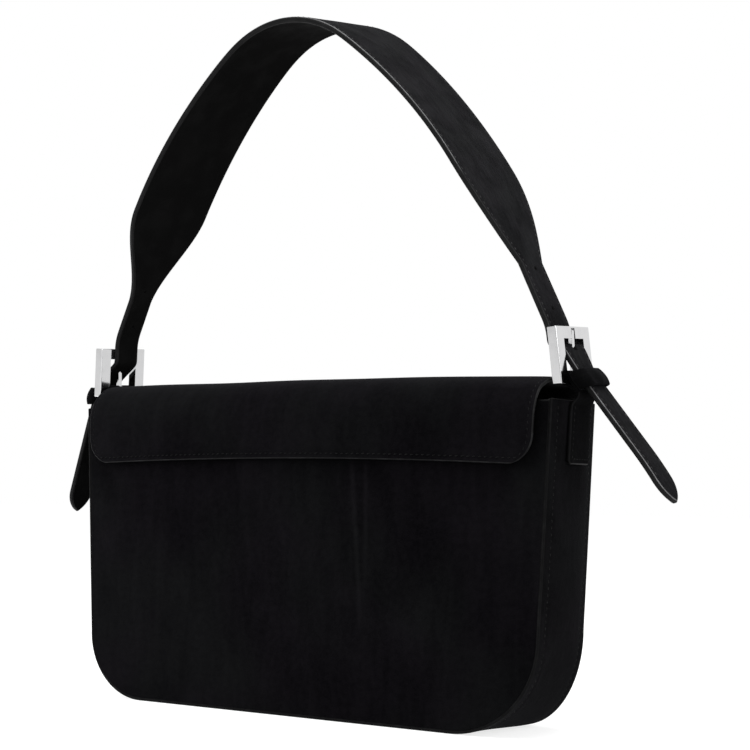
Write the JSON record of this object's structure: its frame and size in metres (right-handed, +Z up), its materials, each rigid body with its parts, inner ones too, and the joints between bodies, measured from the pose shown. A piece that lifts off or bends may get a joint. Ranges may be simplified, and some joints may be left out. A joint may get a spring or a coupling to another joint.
{
  "type": "baguette bag",
  "caption": "Slim suede shoulder bag with a roll-over flap, a gusseted body and a wide strap that passes through side buckles and ends in loose tails.",
  "frame": {"origin": "middle of the base, on the face that the bag stands on", "axes": "+X to the bag's right end as seen from the front, +Y from the front to the back, +Z up"},
  "size_m": [0.3496, 0.0634, 0.3428],
  "materials": {
    "panel_suede": "soft black suede",
    "gusset_suede": "soft black suede",
    "flap_suede": "soft black suede",
    "strap_leather": "black nubuck with painted edges",
    "strap_lining_leather": "smooth black leather",
    "tab_suede": "soft black suede",
    "keeper_suede": "soft black suede",
    "stiffener": "bonded leather board",
    "lining_fabric": "woven black twill",
    "pocket_leather": "smooth black leather",
    "buckle_chrome": "polished",
    "prong_chrome": "polished",
    "snap_steel": "plated"
  },
  "bodies": {
    "bag_body": {"front_panel": "panel_suede", "back_panel": "panel_suede", "gusset": "gusset_suede", "front_board": "stiffener", "back_board": "stiffener", "gusset_board": "stiffener", "front_lining": "lining_fabric", "back_lining": "lining_fabric", "gusset_lining": "lining_fabric", "slip_pocket": "pocket_leather", "snap_magnet": "snap_steel", "snap_magnet_washer": "snap_steel", "tab_patch_right": "tab_suede", "tab_patch_left": "tab_suede"},
    "flap": {"flap_outer": "flap_suede", "flap_board": "stiffener", "flap_lining": "lining_fabric", "snap_plate": "snap_steel", "snap_plate_washer": "snap_steel"},
    "strap": {"strap_outer": "strap_leather", "strap_lining": "strap_lining_leather", "buckle_frame_right": "buckle_chrome", "buckle_frame_left": "buckle_chrome", "tab_loop_right": "tab_suede", "tab_loop_left": "tab_suede"},
    "prong_right": {"prong_right": "prong_chrome"},
    "prong_left": {"prong_left": "prong_chrome"},
    "keeper_right": {"keeper_right": "keeper_suede"},
    "keeper_left": {"keeper_left": "keeper_suede"}
  },
  "joints": [
    {"name": "flap_open", "type": "hinge", "parent": "bag_body", "child": "flap", "pos_m": [0, 0.02345, 0.15], "axis": [-1, 0, 0], "range_deg": [0, 180], "deforming": ["flap_outer", "flap_lining"]},
    {"name": "strap_swing", "type": "hinge", "parent": "bag_body", "child": "strap", "pos_m": [0, 0, 0.154], "axis": [1, 0, 0], "range_deg": [-26, 16]},
    {"name": "prong_lift_right", "type": "hinge", "parent": "strap", "child": "prong_right", "pos_m": [0.13325, -0.00027, 0.15769], "axis": [0, 0.9973, 0.0741], "range_deg": [0, 5]},
    {"name": "prong_lift_left", "type": "hinge", "parent": "strap", "child": "prong_left", "pos_m": [-0.13325, -0.00027, 0.15769], "axis": [0, -0.9973, -0.0741], "range_deg": [0, 5]},
    {"name": "keeper_slide_right", "type": "slide", "parent": "strap", "child": "keeper_right", "axis": [0.6046, 0.059, -0.7943], "range_m": [0, 0.014]},
    {"name": "keeper_slide_left", "type": "slide", "parent": "strap", "child": "keeper_left", "axis": [-0.342, 0.0696, -0.9371], "range_m": [0, 0.014]}
  ]
}
